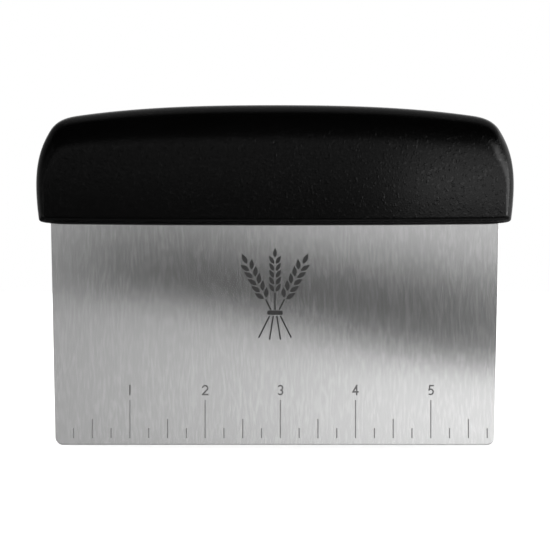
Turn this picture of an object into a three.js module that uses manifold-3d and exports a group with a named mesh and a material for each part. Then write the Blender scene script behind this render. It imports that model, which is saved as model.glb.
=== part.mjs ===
// Bench scraper: a stainless sheet blade with an inch rule along its edge. Its tang is
// pinned between the two halves of a hard core, and a soft grip covers the core.
//
// Units are millimetres, +Z up. The origin is the middle of the scraping edge.
// X runs along the edge, -Y is the front, which carries the rule, and the blade's
// middle plane and the core's parting plane are both y = 0.

import * as THREE from "three";
import { mergeVertices } from "three/addons/utils/BufferGeometryUtils.js";
import Module from "manifold-3d";

const wasm = await Module();
wasm.setup();

// ---- Driving dimensions ----------------------------------------------------------

const INCH = 25.4;

const blade = {
  thickness: 1.0,
  edgeWidth: 148.2, // at the scraping edge
  shoulder: 78, // height of the shoulders, just inside the handle
  shoulderWidth: 151.5,
  tangWidth: 142,
  tangTop: 94,
  edgeCorner: 2.6,
  tangCorner: 4,
  edgeBreak: 0.2, // 45 degree chamfer on both sides of the scraping edge
};

const rule = {
  zero: -74.4, // where the rule counts from, just outside the left corner of the edge
  lastQuarter: 23, // marks stand each quarter inch
  markWidth: 0.4,
  depth: 0.1,
  foot: 2.25, // height of the marks' lower ends above the edge
  inchLength: 12.9,
  halfLength: 6.5,
  quarterLength: 3.4,
  digitGap: 1.6,
  digitHeight: 3.5,
  digitWidth: 2.2,
  digitStroke: 0.5,
};

const handle = {
  halfWidth: 80.5,
  bottom: 74.15, // at the middle; the underside bows up towards the ends
  top: 114.7,
  widest: 87.5, // height at which the ends bulge furthest
  faceEnd: 3.4, // width of the rounding at the ends of the front and back faces
  faceFoot: 2.0, // height of the rounding under them
  faceHead: 15.5, // height of the dome above them
  depthLow: 8.3, // half thickness at the foot of the faces
  depthHigh: 10.16, // half thickness at their head
  fullness: 2.5, // power of the dome's section: 2 is an ellipse, more is fuller
};

const grip = { wall: 2.0, gap: 0.15 }; // soft skin, and its drawn clearance to the core
const core = { wall: 2.0, footHalfWidth: 76.8, footHalfDepth: 4.3, footHeight: 3 };
const pin = { radius: 2, length: 10.6, chamfer: 0.4, height: 86.5, places: [21, 61] };
const boss = { radius: 4.4, boreDepth: 5.5 };
const peg = { radius: 1.6, boss: 3.4, reach: 4, height: 102.5, places: [-41, 0, 41] };
const rib = { thickness: 1.6, places: [0, 10.5, 31, 41, 51, 68] };
const stop = { gap: 0.3, thickness: 1.6, halfWidth: 72 };

const fit = {
  slide: 0.05, // clearance on each side of the blade, and around a pressed pin
  slotEnd: 0.3, // clearance at each end of the blade's slot
  tangHole: 0.15,
  peg: 0.1,
  window: 0.1, // clearance around the core's foot where the soft grip is open
};

const ROUND = 24; // sides of a bore, a boss or a pin
const RINGS = 5; // steps of the rounding from the parting plane to a face
const STEPS = { foot: 2, rise: 2, corner: 2, end: 3, shoulder: 5, crown: 8 };
const DIGIT_STEPS = 4; // points on a curved stroke of a digit
const BEYOND = 200; // larger than the whole object

const steel = new THREE.MeshStandardMaterial({ color: 0xb9bbbc, metalness: 1, roughness: 0.35 });
const pinSteel = new THREE.MeshStandardMaterial({ color: 0xa9abad, metalness: 1, roughness: 0.3 });
const hardPlastic = new THREE.MeshStandardMaterial({ color: 0x161617, metalness: 0, roughness: 0.4 });
const softPlastic = new THREE.MeshStandardMaterial({ color: 0x101011, metalness: 0, roughness: 0.6 });

// ---- Solids and geometries -------------------------------------------------------

// A closed three.js geometry as a manifold-3d solid, which can be joined and cut.
function solid(geometry) {
  const bare = geometry.clone();
  for (const name of Object.keys(bare.attributes)) {
    if (name !== "position") bare.deleteAttribute(name);
  }
  const merged = mergeVertices(bare, 1e-5);
  return new wasm.Manifold(
    new wasm.Mesh({
      numProp: 3,
      vertProperties: new Float32Array(merged.attributes.position.array),
      triVerts: new Uint32Array(merged.index.array),
    }),
  );
}

function geometryOf(body) {
  const mesh = body.getMesh();
  const geometry = new THREE.BufferGeometry();
  geometry.setAttribute("position", new THREE.BufferAttribute(mesh.vertProperties, 3));
  geometry.setIndex(new THREE.BufferAttribute(mesh.triVerts, 1));
  geometry.computeVertexNormals();
  return geometry;
}

function joined(bodies) {
  return bodies.reduce((sum, body) => sum.add(body));
}

// A box from its lowest and highest corners.
function block(low, high) {
  const size = high.map((value, i) => value - low[i]);
  const middle = high.map((value, i) => (value + low[i]) / 2);
  return solid(new THREE.BoxGeometry(...size).translate(...middle));
}

// A round bar along Y.
function bar(radius, yFrom, yTo, x, z) {
  const geometry = new THREE.CylinderGeometry(radius, radius, yTo - yFrom, ROUND);
  return solid(geometry.translate(x, (yFrom + yTo) / 2, z));
}

// A flat outline, drawn in X and Z, as a plate between two values of y.
function plate(shape, yFrom, yTo, curveSegments) {
  const options = { depth: yTo - yFrom, bevelEnabled: false, curveSegments };
  const geometry = new THREE.ExtrudeGeometry(shape, options);
  return solid(geometry.rotateX(Math.PI / 2).translate(0, yTo, 0));
}

// The same geometry on the other side of the parting plane.
function mirrored(geometry) {
  const copy = geometry.clone().scale(1, -1, 1);
  const index = copy.index.array;
  for (let i = 0; i < index.length; i += 3) {
    [index[i + 1], index[i + 2]] = [index[i + 2], index[i + 1]];
  }
  copy.computeVertexNormals();
  return copy;
}

// Places on both sides of the middle, from left to right, with zero given once.
function bothSides(distances) {
  const places = distances.flatMap((x) => (x === 0 ? [0] : [-x, x]));
  return places.sort((a, b) => a - b);
}

// ---- Blade -----------------------------------------------------------------------

// The right half of the blade's outline, from the edge to the tang's top, mirrored.
function bladeOutline() {
  const foot = blade.edgeWidth / 2;
  const lean = (blade.shoulderWidth / 2 - foot) / blade.shoulder;
  const tang = blade.tangWidth / 2;
  const low = blade.edgeCorner;
  const high = blade.tangCorner;
  const right = walk([
    [bend([foot - low, 0], [foot, 0], [foot + lean * low, low]), 5],
    [line([foot + lean * low, low], [blade.shoulderWidth / 2, blade.shoulder]), 1],
    [line([blade.shoulderWidth / 2, blade.shoulder], [tang, blade.shoulder]), 1],
    [line([tang, blade.shoulder], [tang, blade.tangTop - high]), 1],
    [bend([tang, blade.tangTop - high], [tang, blade.tangTop], [tang - high, blade.tangTop]), 4],
  ]);
  const left = right.map((p) => new THREE.Vector2(-p.x, p.y)).reverse();
  return new THREE.Shape([...right, ...left]);
}

// A wedge that takes the sharp corner off the scraping edge, on the side of +y or -y.
function edgeBreak(side) {
  const face = (side * blade.thickness) / 2;
  const past = 1;
  const corner = new THREE.Shape([
    new THREE.Vector2(face - side * blade.edgeBreak, 0),
    new THREE.Vector2(face - side * blade.edgeBreak, -past),
    new THREE.Vector2(face + side * past, -past),
    new THREE.Vector2(face + side * past, blade.edgeBreak),
    new THREE.Vector2(face, blade.edgeBreak),
  ]);
  const wedge = new THREE.ExtrudeGeometry(corner, { depth: BEYOND, bevelEnabled: false });
  // The outline's own X and Y become the part's Y and Z, and its depth runs along X.
  wedge.translate(0, 0, -BEYOND / 2).rotateX(Math.PI / 2).rotateZ(Math.PI / 2);
  return solid(wedge);
}

// A straight stroke of a digit, as a flat outline.
function straightStroke(x0, z0, x1, z1) {
  const along = new THREE.Vector2(x1 - x0, z1 - z0).setLength(rule.digitStroke / 2);
  return new THREE.Shape([
    new THREE.Vector2(x0 - along.x - along.y, z0 - along.y + along.x),
    new THREE.Vector2(x0 - along.x + along.y, z0 - along.y - along.x),
    new THREE.Vector2(x1 + along.x + along.y, z1 + along.y - along.x),
    new THREE.Vector2(x1 + along.x - along.y, z1 + along.y + along.x),
  ]);
}

// A curved stroke of a digit: part of a ring, from one angle to another, in degrees.
function curvedStroke(x, z, radius, fromDegrees, toDegrees) {
  const from = THREE.MathUtils.degToRad(fromDegrees);
  const to = THREE.MathUtils.degToRad(toDegrees);
  const half = rule.digitStroke / 2;
  const shape = new THREE.Shape();
  shape.absarc(x, z, radius + half, from, to, false);
  shape.absarc(x, z, radius - half, to, from, true);
  return shape;
}

// The strokes of a digit that stands on z = 0, centred on x = 0.
function digitStrokes(digit) {
  const foot = rule.digitStroke / 2;
  const top = rule.digitHeight - foot;
  const right = rule.digitWidth / 2 - foot;
  const lobe = (top - foot) / 4; // radius of each half of a 3
  const belly = 0.9; // radius of the round part of a 5
  const bar4 = foot + top * 0.27; // height of the crossbar of a 4
  const strokes = {
    1: [straightStroke(0, foot, 0, top)],
    2: [
      curvedStroke(0, top - right, right, -35, 175),
      straightStroke(right * 0.8, top - right * 1.6, -right, foot),
      straightStroke(-right, foot, right, foot),
    ],
    3: [curvedStroke(0, top - lobe, lobe, -90, 155), curvedStroke(0, foot + lobe, lobe, -155, 90)],
    4: [
      straightStroke(right * 0.45, foot, right * 0.45, top),
      straightStroke(right * 0.45, top, -right, bar4),
      straightStroke(-right, bar4, right, bar4),
    ],
    5: [
      straightStroke(right * 0.9, top, -right * 0.4, top),
      straightStroke(-right * 0.4, top, -right * 0.65, top * 0.55),
      curvedStroke(-0.1, foot + belly, belly, -130, 125),
    ],
  };
  return strokes[digit];
}

// Everything that is cut into the front face: the marks, and a digit over each inch.
function ruleCutters() {
  const face = -blade.thickness / 2;
  const cutters = [];
  for (let quarter = 1; quarter <= rule.lastQuarter; quarter += 1) {
    const x = rule.zero + (quarter * INCH) / 4;
    const whole = quarter % 4 === 0;
    const length = whole ? rule.inchLength : quarter % 2 ? rule.quarterLength : rule.halfLength;
    const half = rule.markWidth / 2;
    const floor = face + rule.depth;
    cutters.push(block([x - half, face - 1, rule.foot], [x + half, floor, rule.foot + length]));
    if (whole) {
      const foot = rule.foot + rule.inchLength + rule.digitGap;
      const strokes = digitStrokes(quarter / 4).map((s) => plate(s, face - 1, floor, DIGIT_STEPS));
      cutters.push(joined(strokes).translate([x, 0, foot]));
    }
  }
  return joined(cutters);
}

function makeBlade() {
  const half = blade.thickness / 2;
  const radius = pin.radius + fit.tangHole;
  const holes = bothSides(pin.places).map((x) => bar(radius, -2 * half, 2 * half, x, pin.height));
  return plate(bladeOutline(), -half, half, 1)
    .subtract(joined(holes))
    .subtract(edgeBreak(1))
    .subtract(edgeBreak(-1))
    .subtract(ruleCutters());
}

// ---- The handle's form -----------------------------------------------------------

function line(from, to) {
  return new THREE.LineCurve(new THREE.Vector2(...from), new THREE.Vector2(...to));
}

// A Bezier curve through its first and last points, with one or two points between.
function bend(...points) {
  const [a, b, c, d] = points.map((p) => new THREE.Vector2(...p));
  return d ? new THREE.CubicBezierCurve(a, b, c, d) : new THREE.QuadraticBezierCurve(a, b, c);
}

// Points along a chain of curves: each entry is a curve and its number of steps.
function walk(chain) {
  const points = chain.flatMap(([curve, steps]) => curve.getPoints(steps).slice(0, -1));
  const last = chain[chain.length - 1][0];
  return [...points, last.getPoint(1)];
}

// A closed loop from its right half, which runs from bottom middle to top middle.
function wholeLoop(right) {
  const left = right.slice(1, -1).map((p) => new THREE.Vector2(-p.x, p.y));
  return [...right, ...left.reverse()];
}

// The handle's outline in the parting plane, drawn in by inset all round.
function silhouette(inset) {
  const w = handle.halfWidth - inset;
  const low = handle.bottom + inset;
  const top = handle.top - inset;
  const wide = handle.widest;
  const [near, far] = [low + 1.9, top - 7.7]; // where the straighter part of an end begins and ends
  const right = walk([
    [bend([0, low], [w - 40, low], [w - 8.5, low + 0.4]), STEPS.foot],
    [bend([w - 8.5, low + 0.4], [w - 5, low + 0.45], [w - 2.1, low + 1.1]), STEPS.rise],
    [bend([w - 2.1, low + 1.1], [w - 1, low + 1.35], [w - 0.85, near]), STEPS.corner],
    [bend([w - 0.85, near], [w, (near + wide) / 2], [w, wide]), STEPS.end],
    [bend([w, wide], [w, wide + 9], [w - 2.1, top - 12.7], [w - 5.4, far]), STEPS.shoulder],
    [bend([w - 5.4, far], [w - 7.4, top - 5.2], [w - 10, top - 4.2], [w - 14, top - 3.6]), STEPS.corner],
    [bend([w - 14, top - 3.6], [w - 36, top - 0.45], [w * 0.27, top], [0, top]), STEPS.crown],
  ]);
  return wholeLoop(right);
}

// The edge of the flat front or back face, drawn in by inset all round. It has the same
// number of points as the silhouette, each one opposite its partner.
function faceEdge(inset) {
  const w = handle.halfWidth - handle.faceEnd - inset;
  const low = handle.bottom + handle.faceFoot + inset;
  const top = handle.top - handle.faceHead - inset;
  const straight = handle.widest - 4.5;
  const [near, far] = [low + 1.6, top - 4.4]; // where the straighter part of an end begins and ends
  const right = walk([
    [bend([0, low], [w - 37, low], [w - 5.1, low + 0.4]), STEPS.foot],
    [bend([w - 5.1, low + 0.4], [w - 2.6, low + 0.43], [w - 0.9, low + 0.55]), STEPS.rise],
    [bend([w - 0.9, low + 0.55], [w - 0.15, low + 0.7], [w, near]), STEPS.corner],
    [line([w, near], [w, straight]), STEPS.end],
    [bend([w, straight], [w, straight + 6.5], [w - 2, top - 9], [w - 3.8, far]), STEPS.shoulder],
    [bend([w - 3.8, far], [w - 4.6, top - 2.6], [w - 7.2, top - 1.8], [w - 11.6, top - 1.4]), STEPS.corner],
    [bend([w - 11.6, top - 1.4], [w - 30, top - 0.3], [w * 0.27, top], [0, top]), STEPS.crown],
  ]);
  return wholeLoop(right);
}

// Half the handle's thickness at a height, before the rounding of its edges.
function depthAt(z) {
  const low = handle.bottom + handle.faceFoot;
  const high = handle.top - handle.faceHead;
  return THREE.MathUtils.mapLinear(z, low, high, handle.depthLow, handle.depthHigh);
}

// The power of the curve from a face to the silhouette: 2, a quarter ellipse, where it runs
// sideways or down, and more where it runs up over the dome.
function sectionPower(inner, outer) {
  const rise = Math.max(0, outer.clone().sub(inner).normalize().y);
  return 2 + (handle.fullness - 2) * rise ** 4;
}

// Rings of points from the parting plane to a face: a curve carries each point of the
// outline to its partner on the edge of the face.
function pillowRings(inset) {
  const outline = silhouette(inset);
  const tighter = 1.5; // how much narrower the rounding is inside a wall than outside
  const face = faceEdge(Math.max(0, inset - tighter));
  return Array.from({ length: RINGS + 1 }, (_, ring) => {
    const across = ring === RINGS ? 0 : Math.cos(((ring / RINGS) * Math.PI) / 2);
    return outline.map((outer, i) => {
      const p = face[i].clone().lerp(outer, across);
      const power = sectionPower(face[i], outer);
      const y = (depthAt(p.y) - inset) * (1 - across ** power) ** (1 / power);
      return new THREE.Vector3(p.x, y, p.y);
    });
  });
}

// The handle's form drawn in by inset, on the side of +y of the parting plane.
function halfPillow(inset) {
  const rings = pillowRings(inset);
  const count = rings[0].length;
  const flat = rings.map((ring) => ring.map((p) => new THREE.Vector2(p.x, p.z)));
  const index = [];
  for (let ring = 0; ring < RINGS; ring += 1) {
    for (let i = 0; i < count; i += 1) {
      const a = ring * count + i;
      const b = ring * count + ((i + 1) % count);
      index.push(a, a + count, b, b, a + count, b + count);
    }
  }
  const head = RINGS * count;
  for (const [a, b, c] of THREE.ShapeUtils.triangulateShape(flat[0], [])) index.push(a, b, c);
  for (const [a, b, c] of THREE.ShapeUtils.triangulateShape(flat[RINGS], [])) {
    index.push(head + a, head + c, head + b);
  }
  const geometry = new THREE.BufferGeometry().setFromPoints(rings.flat());
  geometry.setIndex(index);
  return solid(geometry);
}

// The handle's form drawn in by inset, on both sides of the parting plane.
function wholePillow(inset) {
  const back = halfPillow(inset);
  return back.add(solid(mirrored(geometryOf(back))));
}

// ---- Soft grip -------------------------------------------------------------------

// A skin over the core, open underneath where the core's foot comes through.
function makeGrip() {
  const halfWidth = core.footHalfWidth + fit.window;
  const halfDepth = core.footHalfDepth + fit.window;
  const head = handle.bottom + core.footHeight + 1;
  const window = block([-halfWidth, -halfDepth, 0], [halfWidth, halfDepth, head]);
  return wholePillow(0).subtract(wholePillow(grip.wall)).subtract(window);
}

// ---- Core ------------------------------------------------------------------------

// What stands inside a core half: ribs that bear on the tang, a stop above it, bosses
// for the pins that cross the tang, and bosses for the pegs that join the two halves.
function coreInside() {
  const tangFace = blade.thickness / 2 + fit.slide;
  const inside = [];
  for (const x of bothSides(rib.places)) {
    const low = [x - rib.thickness / 2, tangFace, handle.bottom];
    inside.push(block(low, [x + rib.thickness / 2, BEYOND, handle.top]));
  }
  const stopFoot = blade.tangTop + stop.gap;
  const stopHead = stopFoot + stop.thickness;
  inside.push(block([-stop.halfWidth, fit.slide, stopFoot], [stop.halfWidth, BEYOND, stopHead]));
  for (const x of bothSides(pin.places)) {
    inside.push(bar(boss.radius, tangFace, BEYOND, x, pin.height));
  }
  for (const x of peg.places) {
    inside.push(bar(peg.boss, fit.slide, BEYOND, x, peg.height));
  }
  return joined(inside);
}

// What both halves share, on the side of +y: skin, foot, insides, bores and slot.
function makeCoreHalf() {
  const skinInset = grip.wall + grip.gap;
  const footHead = handle.bottom + core.footHeight;
  const foot = plate(new THREE.Shape(silhouette(0)), 0, core.footHalfDepth, 1).intersect(
    block([-core.footHalfWidth, -1, 0], [core.footHalfWidth, BEYOND, footHead]),
  );
  const tangFace = blade.thickness / 2 + fit.slide;
  const bores = bothSides(pin.places).map((x) =>
    bar(pin.radius + fit.slide, -1, boss.boreDepth, x, pin.height),
  );
  const slotEnd = blade.shoulderWidth / 2 + fit.slotEnd;
  const slot = block([-slotEnd, -1, 0], [slotEnd, tangFace, blade.shoulder + 1]);
  const middle = skinInset + core.wall / 2; // the insides end within the skin's thickness
  return halfPillow(skinInset)
    .add(foot)
    .subtract(wholePillow(skinInset + core.wall))
    .add(coreInside().intersect(halfPillow(middle)))
    .subtract(joined(bores))
    .subtract(slot);
}

// The back half carries the pegs, which reach across the parting plane.
function makeCoreBack() {
  const pegs = peg.places.map((x) => bar(peg.radius, -peg.reach, 1, x, peg.height));
  return makeCoreHalf().add(joined(pegs));
}

// The front half has their sockets. It is made on the side of +y, like the back half,
// and mirrored when its mesh is made.
function makeCoreFront() {
  const radius = peg.radius + fit.peg;
  const sockets = peg.places.map((x) => bar(radius, -1, peg.reach + 0.5, x, peg.height));
  return makeCoreHalf().subtract(joined(sockets));
}

// ---- Pins ------------------------------------------------------------------------

// A plain dowel pin along Y with chamfered ends.
function pinGeometry() {
  const half = pin.length / 2;
  const profile = [
    [0, -half],
    [pin.radius - pin.chamfer, -half],
    [pin.radius, -half + pin.chamfer],
    [pin.radius, half - pin.chamfer],
    [pin.radius - pin.chamfer, half],
    [0, half],
  ];
  const points = profile.map(([radius, y]) => new THREE.Vector2(radius, y));
  return new THREE.LatheGeometry(points, ROUND);
}

// ---- Assembly --------------------------------------------------------------------

function named(name, geometry, material) {
  const mesh = new THREE.Mesh(geometry, material);
  mesh.name = name;
  return mesh;
}

const scraper = new THREE.Group();
scraper.add(named("blade", geometryOf(makeBlade()), steel));
scraper.add(named("core_back", geometryOf(makeCoreBack()), hardPlastic));
scraper.add(named("core_front", mirrored(geometryOf(makeCoreFront())), hardPlastic));
scraper.add(named("soft_grip", geometryOf(makeGrip()), softPlastic));

const pinNames = ["outer_left", "inner_left", "inner_right", "outer_right"];
bothSides(pin.places).forEach((x, i) => {
  const mesh = named(`tang_pin_${pinNames[i]}`, pinGeometry(), pinSteel);
  mesh.position.set(x, 0, pin.height);
  scraper.add(mesh);
});

export default scraper;
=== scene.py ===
import math

import bmesh
import bpy
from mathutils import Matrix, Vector


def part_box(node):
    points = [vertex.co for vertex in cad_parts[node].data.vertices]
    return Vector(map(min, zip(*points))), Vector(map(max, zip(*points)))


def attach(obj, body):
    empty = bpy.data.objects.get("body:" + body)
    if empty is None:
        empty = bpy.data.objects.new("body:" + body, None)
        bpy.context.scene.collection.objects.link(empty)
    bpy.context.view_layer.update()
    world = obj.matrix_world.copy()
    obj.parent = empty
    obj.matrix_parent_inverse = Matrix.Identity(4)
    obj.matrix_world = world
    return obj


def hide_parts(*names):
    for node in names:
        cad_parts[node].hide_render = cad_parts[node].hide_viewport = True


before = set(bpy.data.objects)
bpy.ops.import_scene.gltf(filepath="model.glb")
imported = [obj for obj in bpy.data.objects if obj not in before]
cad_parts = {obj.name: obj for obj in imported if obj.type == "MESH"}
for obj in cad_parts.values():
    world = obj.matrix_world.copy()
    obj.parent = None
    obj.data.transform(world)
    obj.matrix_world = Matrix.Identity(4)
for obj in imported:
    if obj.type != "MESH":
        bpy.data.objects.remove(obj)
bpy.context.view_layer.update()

MM = 0.001
INCH = 0.0254

# ---- Sizes, in metres; the outer ones come from the frame -------------------------

blade_low, blade_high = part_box("blade")
grip_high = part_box("soft_grip")[1]
core_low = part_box("core_back")[0]
pin_boxes = [
    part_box("tang_pin_" + place)
    for place in ("outer_left", "inner_left", "inner_right", "outer_right")
]
inner_low, inner_high = pin_boxes[1]

# The blade
SHEET = blade_high.y - blade_low.y  # thickness
EDGE_HALF = 74.1 * MM  # half the length of the scraping edge
EDGE_BREAK = 0.22 * MM  # rounding of the scraping edge
BURR = 0.1 * MM  # rounding of the other edges
SHOULDER_HALF = blade_high.x  # half the width where the blade ends inside the grip
SHOULDER_Z = 78 * MM
TANG_HALF = 71 * MM
TANG_Z = blade_high.z
TANG_HOLE = 2.15 * MM  # radius of the holes for the pins
PIN_X = [(low.x + high.x) / 2 for low, high in pin_boxes]
PIN_Z = (inner_low.z + inner_high.z) / 2

# The rule and the mark on the front of the blade
MARK_DEPTH = 0.06 * MM
RULE_ZERO = -74.4 * MM  # where the rule's first inch starts
MARK_FOOT = 2.25 * MM
MARK_WIDTH = 0.4 * MM
INCH_MARK = 12.9 * MM
HALF_MARK = 6.5 * MM
QUARTER_MARK = 3.4 * MM
LAST_QUARTER = 23
DIGIT_FOOT = MARK_FOOT + INCH_MARK + 1.6 * MM
DIGIT_HEIGHT = 3.5 * MM
DIGIT_WIDTH = 2.2 * MM
DIGIT_STROKE = 0.5 * MM
SHEAF_FOOT = 35.5 * MM
SHEAF_HEIGHT = 31 * MM
SHEAF_STROKE = 0.5 * MM  # width of a stem

# The grip
HALF_WIDTH = grip_high.x
BOTTOM = core_low.z
TOP = grip_high.z
WIDEST = 87.5 * MM  # height at which the grip is widest
FACE_END = 3.4 * MM  # how far a flat face stays inside the outline at the ends,
FACE_FOOT = 2.0 * MM  # at the bottom
FACE_HEAD = 15.5 * MM  # and at the top, where the dome is
FACE_SLACK = 1.5 * MM  # how much less than the outline a face is drawn in on an inner form
FACE_CROWN = 0.12 * MM  # how far the middle of a face swells
DOME_FULLNESS = 2.5  # power of the dome's section: 2 is an ellipse, more is fuller
DEPTH_LOW = 8.3 * MM  # half the thickness at the foot of the faces
DEPTH_HIGH = 10.16 * MM  # and at their head
GRIP_WALL = 2.0 * MM
PARTING_RIDGE = 0.05 * MM  # height of the line that the mould leaves
PARTING_HALF = 0.16 * MM  # half its width
WINDOW_HALF_WIDTH = 76.9 * MM  # the opening in the underside, filled by the core's foot
WINDOW_HALF_DEPTH = 4.4 * MM
WINDOW_TOP = BOTTOM + 4 * MM

# Steps along each stretch of the grip's outline, from the bottom middle to the top middle
FOOT_STEPS = 30
RISE_STEPS = 8
LOW_CORNER_STEPS = 8
LOW_END_STEPS = 14
SHOULDER_STEPS = 20
HIGH_CORNER_STEPS = 10
CROWN_STEPS = 30

SHARP_DEGREES = 40  # an edge with a larger angle between its faces is shaded as sharp
CAMERA_LENS = 135
CAMERA_DISTANCE = 0.697
FLOOR_HALF = 6.0


# ---- Mesh helpers -----------------------------------------------------------------

def new_object(name, mesh):
    piece = bpy.data.objects.new(name, mesh)
    bpy.context.scene.collection.objects.link(piece)
    return piece


def mesh_from(name, bm):
    bmesh.ops.recalc_face_normals(bm, faces=bm.faces[:])
    mesh = bpy.data.meshes.new(name)
    bm.to_mesh(mesh)
    bm.free()
    return mesh


def flat_loop(bm, points, y):
    """Vertices of a loop that is drawn in X and Z, at one y."""
    return [bm.verts.new((p.x, y, p.y)) for p in points]


def bridge(bm, lower, upper):
    """Quads between two closed loops with the same number of vertices."""
    for i in range(len(lower)):
        bm.faces.new((lower[i - 1], lower[i], upper[i], upper[i - 1]))


def add_prism(bm, points, y_from, y_to):
    """A closed outline in X and Z, as a solid between two values of y."""
    near = flat_loop(bm, points, y_from)
    far = flat_loop(bm, points, y_to)
    bm.faces.new(near)
    bm.faces.new(far)
    bridge(bm, near, far)


def cutter_object(name, outlines, y_from, y_to, material=None):
    """Solids that are cut out of a piece. The material, if any, stays on the cut's faces."""
    bm = bmesh.new()
    for outline in outlines:
        add_prism(bm, outline, y_from, y_to)
    cutter = new_object(name, mesh_from(name, bm))
    if material:
        cutter.data.materials.append(material)
    return cutter


def cut(piece, cutters):
    """Takes the cutters away from the piece, applies the cuts and deletes the cutters."""
    for cutter in cutters:
        modifier = piece.modifiers.new(cutter.name, "BOOLEAN")
        modifier.operation = "DIFFERENCE"
        modifier.solver = "EXACT"
        modifier.material_mode = "TRANSFER"
        modifier.object = cutter
    graph = bpy.context.evaluated_depsgraph_get()
    finished = bpy.data.meshes.new_from_object(piece.evaluated_get(graph))
    piece.modifiers.clear()
    piece.data = finished
    for cutter in cutters:
        bpy.data.objects.remove(cutter)


def smooth(piece, flat_sides=False):
    """Smooth shading apart from sharp edges; flat_sides keeps faces square to Y truly flat."""
    for polygon in piece.data.polygons:
        polygon.use_smooth = True
    piece.data.set_sharp_from_angle(angle=math.radians(SHARP_DEGREES))
    if flat_sides:
        for polygon in piece.data.polygons:
            polygon.use_smooth = abs(polygon.normal.y) < 0.999


# ---- Outlines, as lists of points in X and Z ---------------------------------------

def rounded(corners, steps):
    """A polygon with an arc at each corner: corners are (x, z, radius)."""
    places = [Vector((x, z)) for x, z, _ in corners]
    points = []
    for i, (_, _, radius) in enumerate(corners):
        corner = places[i]
        before = (places[i - 1] - corner).normalized()
        after = (places[(i + 1) % len(places)] - corner).normalized()
        half = before.angle(after) / 2
        centre = corner + (before + after).normalized() * radius / math.sin(half)
        start = corner + before * radius / math.tan(half) - centre
        end = corner + after * radius / math.tan(half) - centre
        for k in range(steps + 1):
            points.append(centre + start.lerp(end, k / steps).normalized() * radius)
    return points


def rounded_box(half_width, low, high, radius, steps):
    """A rectangle with round corners, centred on x = 0."""
    return rounded([
        (-half_width, low, radius), (half_width, low, radius),
        (half_width, high, radius), (-half_width, high, radius),
    ], steps)


def drawn_in(loop, amounts):
    """The loop moved inwards by an amount at each point. The loop runs anticlockwise."""
    moved = []
    for i, point in enumerate(loop):
        into = (point - loop[i - 1]).normalized()
        out = (loop[(i + 1) % len(loop)] - point).normalized()
        first, second = Vector((-into.y, into.x)), Vector((-out.y, out.x))
        moved.append(point + (first + second) * amounts[i] / (1 + first.dot(second)))
    return moved


def bezier(points, steps):
    """Points along a Bezier curve of any degree, without its last one."""
    result = []
    for k in range(steps):
        level = [Vector(p) for p in points]
        while len(level) > 1:
            level = [a.lerp(b, k / steps) for a, b in zip(level, level[1:])]
        result.append(level[0])
    return result


def bar_outline(start, end, width):
    """A straight stroke with square ends."""
    a, b = Vector(start), Vector(end)
    along = (b - a).normalized() * width / 2
    side = Vector((-along.y, along.x))
    return [a - along - side, b + along - side, b + along + side, a - along + side]


def arc_outline(centre, radius, from_degrees, to_degrees, width, steps=14):
    """A curved stroke: part of a ring."""
    angles = [
        math.radians(from_degrees + (to_degrees - from_degrees) * k / steps)
        for k in range(steps + 1)
    ]
    outer = [Vector((math.cos(a), math.sin(a))) * (radius + width / 2) for a in angles]
    inner = [Vector((math.cos(a), math.sin(a))) * (radius - width / 2) for a in angles]
    return [Vector(centre) + p for p in outer + inner[::-1]]


def leaf_outline(base, tip, width, steps=8):
    """A pointed oval from base to tip, widest just below its middle."""
    a, b = Vector(base), Vector(tip)
    side = Vector((a.y - b.y, b.x - a.x)).normalized() * width / 2
    left, right = [], []
    for k in range(steps + 1):
        t = k / steps
        swell = math.sin(math.pi * t ** 0.85)
        middle = a.lerp(b, t)
        left.append(middle + side * swell)
        right.append(middle - side * swell)
    return right + left[-2:0:-1]


def circle_outline(x, z, radius, steps=32):
    return [
        Vector((x + radius * math.cos(a), z + radius * math.sin(a)))
        for a in (2 * math.pi * k / steps for k in range(steps))
    ]


# ---- Node helpers -----------------------------------------------------------------

class Nodes:
    """Adds shader nodes to a tree. An input is given as a number, a tuple or a socket."""

    def __init__(self, tree):
        self.tree = tree
        tree.nodes.clear()

    def feed(self, socket, value):
        if isinstance(value, bpy.types.NodeSocket):
            self.tree.links.new(value, socket)
        else:
            socket.default_value = value

    def add(self, kind, inputs=None, **settings):
        node = self.tree.nodes.new("ShaderNode" + kind)
        for name, value in settings.items():
            setattr(node, name, value)
        for name, value in (inputs or {}).items():
            self.feed(node.inputs[name], value)
        return node

    def math(self, operation, a, b=0.0):
        return self.add("Math", {0: a, 1: b}, operation=operation).outputs[0]

    def ramp(self, value, low, high, start=0.0, end=1.0):
        """Goes smoothly from start to end while value goes from low to high."""
        inputs = {"Value": value, "From Min": low, "From Max": high, "To Min": start, "To Max": end}
        return self.add("MapRange", inputs, interpolation_type="SMOOTHSTEP").outputs[0]

    def mix(self, factor, a, b):
        """A number between a and b."""
        return self.add("Mix", {"Factor": factor, "A": a, "B": b}, data_type="FLOAT").outputs[0]

    def stretched(self, scale):
        """The row frame's coordinates in metres, multiplied by a scale for each axis."""
        place = self.add("TexCoord").outputs["Object"]
        return self.add("VectorMath", {0: place, 1: scale}, operation="MULTIPLY").outputs[0]

    def noise(self, scale, detail=2.0, roughness=0.5):
        """Noise from 0 to 1 whose features are about one over scale metres long on each axis."""
        inputs = {"Vector": self.stretched(scale), "Scale": 1.0}
        inputs.update({"Detail": detail, "Roughness": roughness})
        return self.add("TexNoise", inputs).outputs[0]

    def bump(self, height, distance, normal=None):
        inputs = {"Height": height, "Distance": distance, "Strength": 1.0}
        if normal:
            inputs["Normal"] = normal
        return self.add("Bump", inputs).outputs[0]

    def grey(self, value):
        return self.add("CombineColor", {"Red": value, "Green": value, "Blue": value}).outputs[0]


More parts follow.
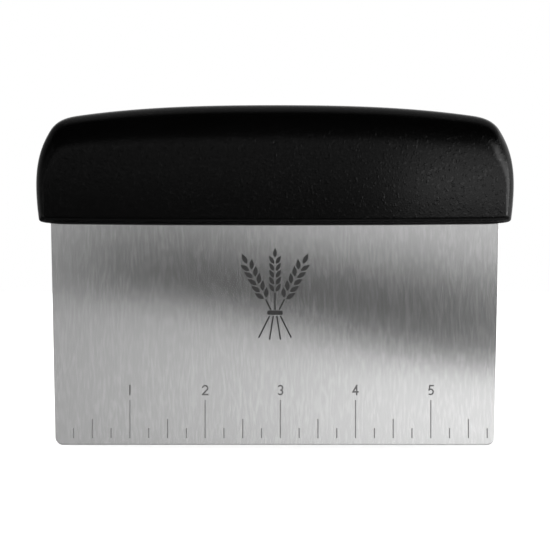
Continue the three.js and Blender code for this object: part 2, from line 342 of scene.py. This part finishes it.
def new_material(name):
    material = bpy.data.materials.new(name)
    material.use_nodes = True
    return material, Nodes(material.node_tree)


def finish_material(nodes, inputs):
    shader = nodes.add("BsdfPrincipled", inputs)
    output = nodes.add("OutputMaterial")
    nodes.tree.links.new(shader.outputs[0], output.inputs["Surface"])


# ---- Materials --------------------------------------------------------------------

def brushed_steel(name, tone, roughness):
    """Stainless sheet, brushed up and down: short fine streaks that turn light sideways.
    The cut rim of the sheet is duller and darker than its two faces."""
    material, nodes = new_material(name)
    blotches = nodes.noise((200, 200, 60), detail=3)
    streaks = nodes.ramp(nodes.noise((1500, 1500, 250), detail=2, roughness=0.6), 0.35, 0.75)
    warped = nodes.bump(nodes.noise((14, 14, 10), detail=1), 0.05 * MM)
    mixed = nodes.mix(0.5, blotches, streaks)
    value = nodes.ramp(mixed, 0.3, 0.7, tone * 0.96, tone * 1.04)
    sheen = nodes.ramp(mixed, 0.3, 0.7, roughness * 0.97, roughness * 1.04)

    direction = nodes.add("SeparateXYZ", {0: nodes.add("NewGeometry").outputs["True Normal"]})
    rim = nodes.ramp(nodes.math("ABSOLUTE", direction.outputs["Y"]), 0.6, 0.3)
    rim_tone = tone * 0.5
    rim_roughness = 0.2
    finish_material(nodes, {
        "Base Color": nodes.grey(nodes.mix(rim, value, rim_tone)),
        "Metallic": 1.0,
        "Roughness": nodes.mix(rim, sheen, rim_roughness),
        "Anisotropic": 0.95,
        "Tangent": (1.0, 0.0, 0.0),
        "Normal": nodes.bump(blotches, 0.007 * MM, normal=warped),
    })
    return material


def etched_steel(name, tone):
    """The dull floor of an etched mark."""
    material, nodes = new_material(name)
    speckle = nodes.noise((3000, 3000, 3000), detail=2)
    finish_material(nodes, {
        "Base Color": nodes.grey(nodes.ramp(speckle, 0.3, 0.7, tone * 0.8, tone * 1.2)),
        "Metallic": 0.4,
        "Roughness": 0.6,
        "Normal": nodes.bump(speckle, 0.02 * MM),
    })
    return material


def ground_steel(name, tone, roughness):
    """A ground dowel pin: fine rings round its axis, which runs along Y."""
    material, nodes = new_material(name)
    rings = nodes.noise((60, 9000, 60), detail=2)
    finish_material(nodes, {
        "Base Color": nodes.grey(nodes.ramp(rings, 0.3, 0.7, tone - 0.05, tone + 0.05)),
        "Metallic": 1.0,
        "Roughness": nodes.ramp(rings, 0.3, 0.7, roughness - 0.06, roughness + 0.06),
        "Normal": nodes.bump(rings, 0.004 * MM),
    })
    return material


def black_plastic(name, tone, roughness, grain_size, grain_height):
    """Moulded black plastic with a fine spark-eroded grain. Some of its specks are
    shinier, and others reflect more light."""
    material, nodes = new_material(name)
    per_metre = 1 / grain_size
    fine = nodes.noise((per_metre,) * 3, detail=2, roughness=0.6)
    specks = nodes.ramp(nodes.noise((per_metre * 0.5,) * 3, detail=2), 0.58, 0.7)
    glints = nodes.ramp(nodes.noise((per_metre * 0.6,) * 3, detail=2), 0.56, 0.7)
    patches = nodes.noise((45, 45, 45), detail=3)
    finish_material(nodes, {
        "Base Color": nodes.grey(nodes.ramp(patches, 0.3, 0.7, tone * 0.85, tone * 1.15)),
        "Roughness": nodes.ramp(specks, 0.0, 1.0, roughness, roughness * 0.85),
        "Specular IOR Level": nodes.ramp(glints, 0.0, 1.0, 0.19, 0.3),
        "Normal": nodes.bump(nodes.mix(0.55, fine, specks), grain_height),
    })
    return material


# ---- Blade ------------------------------------------------------------------------

def digit_strokes(digit):
    """The strokes of a digit that stands on z = 0, centred on x = 0."""
    foot = DIGIT_STROKE / 2
    top = DIGIT_HEIGHT - foot
    right = DIGIT_WIDTH / 2 - foot
    lobe = (top - foot) / 4  # radius of each half of a 3
    belly = 0.9 * MM  # radius of the round part of a 5
    crossbar = foot + top * 0.27  # height of the crossbar of a 4

    def bar(x0, z0, x1, z1):
        return bar_outline((x0, z0), (x1, z1), DIGIT_STROKE)

    def arc(x, z, radius, from_degrees, to_degrees):
        return arc_outline((x, z), radius, from_degrees, to_degrees, DIGIT_STROKE)

    return {
        1: [bar(0, foot, 0, top)],
        2: [
            arc(0, top - right, right, -35, 175),
            bar(right * 0.8, top - right * 1.6, -right, foot),
            bar(-right, foot, right, foot),
        ],
        3: [arc(0, top - lobe, lobe, -90, 155), arc(0, foot + lobe, lobe, -155, 90)],
        4: [
            bar(right * 0.45, foot, right * 0.45, top),
            bar(right * 0.45, top, -right, crossbar),
            bar(-right, crossbar, right, crossbar),
        ],
        5: [
            bar(right * 0.9, top, -right * 0.4, top),
            bar(-right * 0.4, top, -right * 0.65, top * 0.55),
            arc(-0.1 * MM, foot + belly, belly, -130, 125),
        ],
    }[digit]


def rule_marks():
    """A mark each quarter inch, longer at each half and each inch. They are counted from a
    point just outside the left corner."""
    outlines = []
    for quarter in range(1, LAST_QUARTER + 1):
        x = RULE_ZERO + quarter * INCH / 4
        if quarter % 4 == 0:
            length = INCH_MARK
        elif quarter % 2 == 0:
            length = HALF_MARK
        else:
            length = QUARTER_MARK
        half = MARK_WIDTH / 2
        outlines.append(bar_outline((x, MARK_FOOT + half), (x, MARK_FOOT + length - half), MARK_WIDTH))
    return outlines


def rule_digits():
    """The digits' strokes in three groups, none of which has strokes that overlap."""
    groups = [[], [], []]
    for digit in range(1, 6):
        place = Vector((RULE_ZERO + digit * INCH, DIGIT_FOOT))
        for group, stroke in zip(groups, digit_strokes(digit)):
            group.append([place + point for point in stroke])
    return groups


def ear_of_wheat(foot, direction, length):
    """Pairs of grains along an axis with one grain at its tip."""
    along = Vector(direction).normalized()
    side = Vector((-along.y, along.x))
    start = Vector(foot)
    pairs = 5
    pitch = length / (pairs + 1.3)
    grain = pitch * 1.35
    grain_width = grain * 0.42
    outlines = []
    for k in range(pairs):
        base = start + along * pitch * k
        for hand in (-1, 1):
            root = base + side * hand * pitch * 0.16
            tip = root + along * grain * 0.86 + side * hand * grain * 0.5
            outlines.append(leaf_outline(root, tip, grain_width))
    last = start + along * pitch * (pairs - 0.1)
    outlines.append(leaf_outline(last, last + along * grain * 1.05, grain_width))
    return outlines


def ear_on_stem(lean, foot_z):
    """One ear and its stem. It leans to the left (-1), stands upright (0) or leans right (1)."""
    root = Vector((lean * 1.5 * MM, foot_z))
    direction = Vector((lean * 0.52, 1)).normalized()
    stem_length = (3.4 if lean else 5.2) * MM
    ear_foot = root + direction * (stem_length + 0.7 * MM)
    ear_length = (SHEAF_FOOT + SHEAF_HEIGHT - ear_foot.y) / direction.y
    stem = bar_outline(root, root + direction * stem_length, SHEAF_STROKE)
    return [stem] + ear_of_wheat(ear_foot, direction, ear_length * (0.88 if lean else 1.0))


def wheat_sheaf():
    """Three ears on stems that meet at a band and spread again below it."""
    band_foot = SHEAF_FOOT + SHEAF_HEIGHT * 0.27
    band_head = band_foot + 1.5 * MM
    outlines = [rounded_box(2.6 * MM, band_foot, band_head, radius=0.5 * MM, steps=4)]
    for lean in (-1, 0, 1):
        outlines += ear_on_stem(lean, band_head + 0.5 * MM)
    for lean in (-1.5, -0.5, 0.5, 1.5):
        root = Vector((lean * 1.3 * MM, band_foot - 0.6 * MM))
        end = Vector((lean * 3.6 * MM, SHEAF_FOOT + abs(lean) * 0.6 * MM))
        outlines.append(bar_outline(root, end, SHEAF_STROKE))
    return outlines


def blade_outline():
    """The sheet with its tang. The first four values are the radii of its corners."""
    corner = 2.6 * MM
    shoulder = 0.4 * MM
    notch = 0.8 * MM
    tang_corner = 4 * MM
    return rounded([
        (-EDGE_HALF, 0, corner), (EDGE_HALF, 0, corner),
        (SHOULDER_HALF, SHOULDER_Z, shoulder), (TANG_HALF, SHOULDER_Z, notch),
        (TANG_HALF, TANG_Z, tang_corner), (-TANG_HALF, TANG_Z, tang_corner),
        (-TANG_HALF, SHOULDER_Z, notch), (-SHOULDER_HALF, SHOULDER_Z, shoulder),
    ], 8)


def blade_sheet():
    """The sheet with its edges rounded, before anything is cut into it."""
    outline = blade_outline()
    edge_zone = 0.5 * MM  # points lower than this belong to the scraping edge
    breaks = [EDGE_BREAK if p.y < edge_zone else BURR for p in outline]
    bm = bmesh.new()
    loops = []
    steps = 3
    for side in (-1, 1):
        for k in range(steps + 1):
            turn = math.pi / 2 * (k if side < 0 else steps - k) / steps
            inset = [b * (1 - math.sin(turn)) for b in breaks]
            depth = [b * (1 - math.cos(turn)) for b in breaks]
            loops.append([
                bm.verts.new((p.x, side * (SHEET / 2 - d), p.y))
                for p, d in zip(drawn_in(outline, inset), depth)
            ])
    for lower, upper in zip(loops, loops[1:]):
        bridge(bm, lower, upper)
    bm.faces.new(loops[0])
    bm.faces.new(loops[-1])
    return new_object("blade_sheet", mesh_from("blade_sheet", bm))


def make_blade():
    blade = blade_sheet()
    blade.data.materials.append(brushed_steel("steel_brushed", tone=0.62, roughness=0.1))
    rule_ink = etched_steel("steel_rule_marks", tone=0.24)
    digit_ink = etched_steel("steel_digits", tone=0.14)
    sheaf_ink = etched_steel("steel_etched_dark", tone=0.03)

    above = -SHEET / 2 - 1 * MM  # a cutter starts in front of the sheet
    mark_floor = -SHEET / 2 + MARK_DEPTH
    holes = [circle_outline(x, PIN_Z, TANG_HOLE) for x in PIN_X]
    cutters = [
        cutter_object("cut_holes", holes, -SHEET, SHEET),
        cutter_object("cut_marks", rule_marks(), above, mark_floor, rule_ink),
        cutter_object("cut_sheaf", wheat_sheaf(), above, mark_floor, sheaf_ink),
    ]
    for i, group in enumerate(rule_digits()):
        cutters.append(cutter_object(f"cut_digits_{i}", group, above, mark_floor, digit_ink))
    cut(blade, cutters)
    smooth(blade, flat_sides=True)
    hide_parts("blade")
    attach(blade, "root")


# ---- Grip -------------------------------------------------------------------------

def whole_loop(right, top):
    """A closed loop from its right half and the point at its top, where the halves meet."""
    left = [Vector((-p.x, p.y)) for p in right[1:]]
    return right + [top] + left[::-1]


def silhouette(inset):
    """The grip's outline in its parting plane, drawn in by inset all round."""
    half = HALF_WIDTH - inset
    low = BOTTOM + inset
    top = TOP - inset

    def at(x, z):
        """A point that is x millimetres inside the end."""
        return (half - x * MM, z)

    foot = at(8.5, low + 0.4 * MM)
    rise = at(2.1, low + 1.1 * MM)
    near = at(0.85, low + 1.9 * MM)
    wide = at(0, WIDEST)
    far = at(5.4, top - 7.7 * MM)
    crown = at(14, top - 3.6 * MM)
    right = (
        bezier([(0, low), at(40, low), foot], FOOT_STEPS)
        + bezier([foot, at(5, low + 0.45 * MM), rise], RISE_STEPS)
        + bezier([rise, at(1, low + 1.35 * MM), near], LOW_CORNER_STEPS)
        + bezier([near, at(0, (near[1] + WIDEST) / 2), wide], LOW_END_STEPS)
        + bezier([wide, at(0, WIDEST + 9 * MM), at(2.1, top - 12.7 * MM), far], SHOULDER_STEPS)
        + bezier([far, at(7.4, top - 5.2 * MM), at(10, top - 4.2 * MM), crown], HIGH_CORNER_STEPS)
        + bezier([crown, at(36, top - 0.45 * MM), (half * 0.27, top), (0, top)], CROWN_STEPS)
    )
    return whole_loop(right, Vector((0, top)))


def face_edge(inset):
    """The edge of the flat front or back face, with a point opposite each of the silhouette's."""
    half = HALF_WIDTH - FACE_END - inset
    low = BOTTOM + FACE_FOOT + inset
    top = TOP - FACE_HEAD - inset
    straight = WIDEST - 4.5 * MM  # height at which the straight end stops

    def at(x, z):
        """A point that is x millimetres inside the end."""
        return (half - x * MM, z)

    foot = at(5.1, low + 0.4 * MM)
    rise = at(0.9, low + 0.55 * MM)
    near = at(0, low + 1.6 * MM)
    wide = at(0, straight)
    far = at(3.8, top - 4.4 * MM)
    crown = at(11.6, top - 1.4 * MM)
    right = (
        bezier([(0, low), at(37, low), foot], FOOT_STEPS)
        + bezier([foot, at(2.6, low + 0.43 * MM), rise], RISE_STEPS)
        + bezier([rise, at(0.15, low + 0.7 * MM), near], LOW_CORNER_STEPS)
        + bezier([near, wide], LOW_END_STEPS)
        + bezier([wide, at(0, straight + 6.5 * MM), at(2, top - 9 * MM), far], SHOULDER_STEPS)
        + bezier([far, at(4.6, top - 2.6 * MM), at(7.2, top - 1.8 * MM), crown], HIGH_CORNER_STEPS)
        + bezier([crown, at(30, top - 0.3 * MM), (half * 0.27, top), (0, top)], CROWN_STEPS)
    )
    return whole_loop(right, Vector((0, top)))


def depth_at(z):
    """Half the grip's thickness at a height, before the rounding of its edges."""
    share = (z - BOTTOM - FACE_FOOT) / (TOP - FACE_HEAD - BOTTOM - FACE_FOOT)
    return DEPTH_LOW + (DEPTH_HIGH - DEPTH_LOW) * share


def add_face_grid(bm, loop, side, inset, crown):
    """Fills the flat face inside a loop with quads in upright columns. Its rows stand
    closer together near the edge, where the shading turns."""
    quarter = len(loop) // 4
    rows = 12
    columns = []
    for j in range(-quarter + 1, quarter):
        foot, head = loop[j], loop[2 * quarter - j]
        column = [foot]
        for row in range(1, rows):
            share = (1 - math.cos(math.pi * row / rows)) / 2
            p = foot.co.lerp(head.co, share)
            swell = crown * (1 - (j / quarter) ** 2) * math.sin(math.pi * share)
            column.append(bm.verts.new((p.x, side * (depth_at(p.z) - inset + swell), p.z)))
        columns.append(column + [head])
    for left, right in zip(columns, columns[1:]):
        for row in range(rows):
            bm.faces.new((left[row], right[row], right[row + 1], left[row + 1]))
    for tip, column in ((loop[quarter], columns[-1]), (loop[3 * quarter], columns[0])):
        for row in range(rows):
            bm.faces.new((column[row], column[row + 1], tip))


def fullness(outer, inner):
    """The power of the curve from the silhouette to a face: 2, an ellipse, where it runs
    sideways or down, and more where it runs up over the dome, which is fuller."""
    rise = max(0.0, (outer - inner).normalized().y)
    return 2 + (DOME_FULLNESS - 2) * rise ** 4


def pillow(name, inset, rings, crown=0.0, ridge=0.0):
    """The grip's form drawn in by inset, as one closed mesh. A curve carries each point
    of the silhouette to its partner on the edge of each face."""
    outline = silhouette(inset)
    face = face_edge(max(0.0, inset - FACE_SLACK))
    bm = bmesh.new()
    first = flat_loop(bm, silhouette(inset - ridge), 0)
    turns = [math.pi / 2 * k / rings for k in range(1, rings + 1)]
    if ridge:
        turns.insert(0, PARTING_HALF / DEPTH_HIGH)
    for side in (-1, 1):
        loop = first
        for turn in turns:
            across = max(0.0, math.cos(turn))
            following = []
            for outer, inner in zip(outline, face):
                p = inner.lerp(outer, across)
                power = fullness(outer, inner)
                y = side * (depth_at(p.y) - inset) * (1 - across ** power) ** (1 / power)
                following.append(bm.verts.new((p.x, y, p.y)))
            bridge(bm, loop, following)
            loop = following
        add_face_grid(bm, loop, side, inset, crown)
    return new_object(name, mesh_from(name, bm))


def make_grip():
    grip = pillow("grip_skin", inset=0, rings=14, crown=FACE_CROWN, ridge=PARTING_RIDGE)
    grip.data.materials.append(black_plastic(
        "grip_black", tone=0.0005, roughness=0.22, grain_size=0.6 * MM, grain_height=0.04 * MM
    ))
    window = rounded_box(WINDOW_HALF_WIDTH, 0, WINDOW_TOP, radius=MM, steps=1)
    cut(grip, [
        pillow("cut_inside", inset=GRIP_WALL, rings=6),
        cutter_object("cut_window", [window], -WINDOW_HALF_DEPTH, WINDOW_HALF_DEPTH),
    ])
    smooth(grip)
    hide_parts("soft_grip")
    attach(grip, "root")
    return grip


def dress_hidden_nodes():
    """Gives the core and the pins, which stay as they are in the CAD, their materials."""
    core_plastic = black_plastic(
        "core_black", tone=0.004, roughness=0.38, grain_size=0.3 * MM, grain_height=0.01 * MM
    )
    pin_steel = ground_steel("pin_steel", tone=0.55, roughness=0.28)
    for name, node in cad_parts.items():
        if name.startswith("core_"):
            dress, slot = core_plastic, "core_plastic"
        elif name.startswith("tang_pin_"):
            dress, slot = pin_steel, "pin_steel"
        else:
            continue
        node.data.materials.clear()
        node.data.materials.append(dress)


# ---- Studio -----------------------------------------------------------------------

def make_floor():
    """A pale floor that shiny surfaces don't see."""
    material, nodes = new_material("studio_floor")
    cloud = nodes.noise((6, 6, 6), detail=2)
    finish_material(nodes, {
        "Base Color": nodes.grey(nodes.ramp(cloud, 0.2, 0.8, 0.88, 0.9)),
        "Roughness": 0.9,
        "Specular IOR Level": 0.1,
        "Emission Color": (1, 1, 1, 1),
        "Emission Strength": 0.3,
    })
    bm = bmesh.new()
    corners = [(x * FLOOR_HALF, y * FLOOR_HALF, 0) for x, y in ((-1, -1), (1, -1), (1, 1), (-1, 1))]
    bm.faces.new([bm.verts.new(corner) for corner in corners])
    floor = new_object("floor", mesh_from("floor", bm))
    floor.data.materials.append(material)
    floor.visible_glossy = False


def far_front(nodes, side, slope):
    """In front, near the horizon: a table that gets brighter to the right, a dim band at its
    far edge and a wall. The band and the wall are brighter towards both ends. Side and slope
    are how far a ray goes sideways and upwards for each metre ahead."""
    table = nodes.math(
        "ADD", nodes.ramp(side, -0.2, 0.1, 0.45, 0.95), nodes.ramp(side, 0.0, 0.08, 0.0, 0.35)
    )
    band = nodes.math(
        "ADD", nodes.ramp(side, -0.088, -0.112, 0.04, 0.55), nodes.ramp(side, 0.1, 0.13, 0.0, 0.3)
    )
    wall = nodes.math(
        "ADD", nodes.ramp(side, -0.08, 0.03, 0.3, 0.74), nodes.ramp(side, -0.06, -0.11, 0.0, 0.32)
    )
    wall = nodes.math("ADD", wall, nodes.ramp(side, 0.03, 0.13, 0.0, 0.1))

    # The band runs downwards to the right, where it is also wider.
    middle = nodes.math("SUBTRACT", nodes.math("MULTIPLY", side, -0.12), 0.0082)
    over = nodes.math("SUBTRACT", slope, middle)
    widening = nodes.ramp(side, -0.05, 0.09, 0.0, 0.014)
    in_table = nodes.ramp(nodes.math("ADD", over, widening), -0.002, -0.019)
    in_wall = nodes.ramp(over, 0.0, 0.048)
    return nodes.mix(in_wall, nodes.mix(in_table, band, table), wall)


def front_half(nodes, x, y, z):
    """The half of the room in front. The table close to the object lies in shade apart from
    its far sides, and the ceiling is dark."""
    ahead = nodes.math("MAXIMUM", nodes.math("MULTIPLY", y, -1.0), 0.05)
    side = nodes.math("DIVIDE", x, ahead)
    slope = nodes.math("DIVIDE", z, ahead)
    far_sides = nodes.ramp(nodes.math("ABSOLUTE", x), 0.3, 0.6)
    pale = nodes.math("MULTIPLY", far_sides, nodes.ramp(z, -0.7, -0.58))
    shade = nodes.mix(nodes.ramp(x, -0.1, 0.2), 0.0, nodes.ramp(z, -0.15, -0.35, 0.08, 0.15))
    near_table = nodes.mix(pale, shade, 0.7)
    ceiling = 0.01
    light = nodes.mix(nodes.ramp(slope, -0.088, -0.1), far_front(nodes, side, slope), near_table)
    return nodes.mix(nodes.ramp(slope, 0.045, 0.085), light, ceiling)


def back_half(nodes, x, z):
    """The half behind: a dark table and a wall that is dimmer higher up, and dark on the left."""
    dark_wall = 0.12
    wall = nodes.mix(nodes.ramp(x, -0.2, -0.5), nodes.ramp(z, 0.25, 0.6, 0.9, 0.32), dark_wall)
    table = nodes.ramp(x, -0.3, 0.3, 0.03, 0.15)
    return nodes.mix(nodes.ramp(z, -0.1, 0.02), table, wall)


def add_sides(nodes, x, y, z, room):
    """At the sides, up to about 25 degrees: a dim wall on the left, and on the right a bright
    card that fades towards the back and has a gap in its middle."""
    card_back = 1.4
    card_end = 0.4
    gap = 0.4
    left_wall = 0.25
    upright = nodes.math("MULTIPLY", nodes.ramp(z, 0.42, 0.1), nodes.ramp(z, -0.45, -0.2))
    right_part = nodes.math("MULTIPLY", nodes.ramp(x, 0.22, 0.45), upright)
    left_part = nodes.math("MULTIPLY", nodes.ramp(x, -0.4, -0.75), upright)
    card = nodes.mix(nodes.ramp(y, -0.25, 0.15), nodes.ramp(x, 0.3, 0.7, 4.0, 6.0), card_back)
    card = nodes.mix(nodes.ramp(y, 0.3, 0.65), card, card_end)
    card = nodes.mix(nodes.ramp(x, 0.98, 0.995), card, gap)
    return nodes.mix(left_part, nodes.mix(right_part, room, card), left_wall)


def make_world():
    """Shiny surfaces see the room that the functions above describe. The floor and dull
    surfaces see an even dome, and the camera sees white."""
    world = bpy.data.worlds.new("studio")
    bpy.context.scene.world = world
    world.use_nodes = True
    world.cycles.sampling_method = "NONE"
    nodes = Nodes(world.node_tree)
    x, y, z = nodes.add("SeparateXYZ", {0: nodes.add("TexCoord").outputs["Generated"]}).outputs
    room = nodes.mix(nodes.ramp(y, -0.2, 0.15), front_half(nodes, x, y, z), back_half(nodes, x, z))
    below = nodes.ramp(x, -0.1, 0.1, 0.15, 0.5)  # straight below the object the table is pale
    room = nodes.mix(nodes.ramp(z, -0.82, -0.92), room, below)
    room = add_sides(nodes, x, y, z, room)

    path = nodes.add("LightPath").outputs
    dome = nodes.ramp(z, -0.2, 0.6, 0.9, 1.3)
    strength = nodes.mix(path["Is Glossy Ray"], dome, room)
    strength = nodes.mix(path["Is Camera Ray"], strength, 1.0)
    background = nodes.add("Background", {"Color": (1, 1, 1, 1), "Strength": strength})
    output = nodes.add("OutputWorld")
    world.node_tree.links.new(background.outputs[0], output.inputs["Surface"])


def make_card(name, location, target, size, power, lit):
    """A soft rectangular light that shines on one piece only and isn't seen by the camera."""
    light = bpy.data.lights.new(name, "AREA")
    light.shape = "RECTANGLE"
    light.size, light.size_y = size
    light.energy = power
    lamp = new_object(name, light)
    lamp.location = location
    aim = Vector(target) - Vector(location)
    lamp.rotation_euler = aim.to_track_quat("-Z", "Y").to_euler()
    lamp.visible_camera = False
    receivers = bpy.data.collections.new(name + "_lights")
    receivers.objects.link(lit)
    lamp.light_linking.receiver_collection = receivers


def make_camera():
    camera = new_object("camera", bpy.data.cameras.new("camera"))
    camera.data.lens = CAMERA_LENS
    camera.location = (0, -CAMERA_DISTANCE, TOP / 2)
    camera.rotation_euler = (math.radians(90), 0, 0)
    bpy.context.scene.camera = camera


make_blade()
grip = make_grip()
dress_hidden_nodes()
make_floor()
make_world()
make_card(
    "right_card", location=(0.085, -0.16, 0.07), target=(0.085, 0, 0.07),
    size=(0.06, 0.03), power=0.0118, lit=grip,
)
make_camera()
bpy.context.scene.view_settings.view_transform = "Standard"
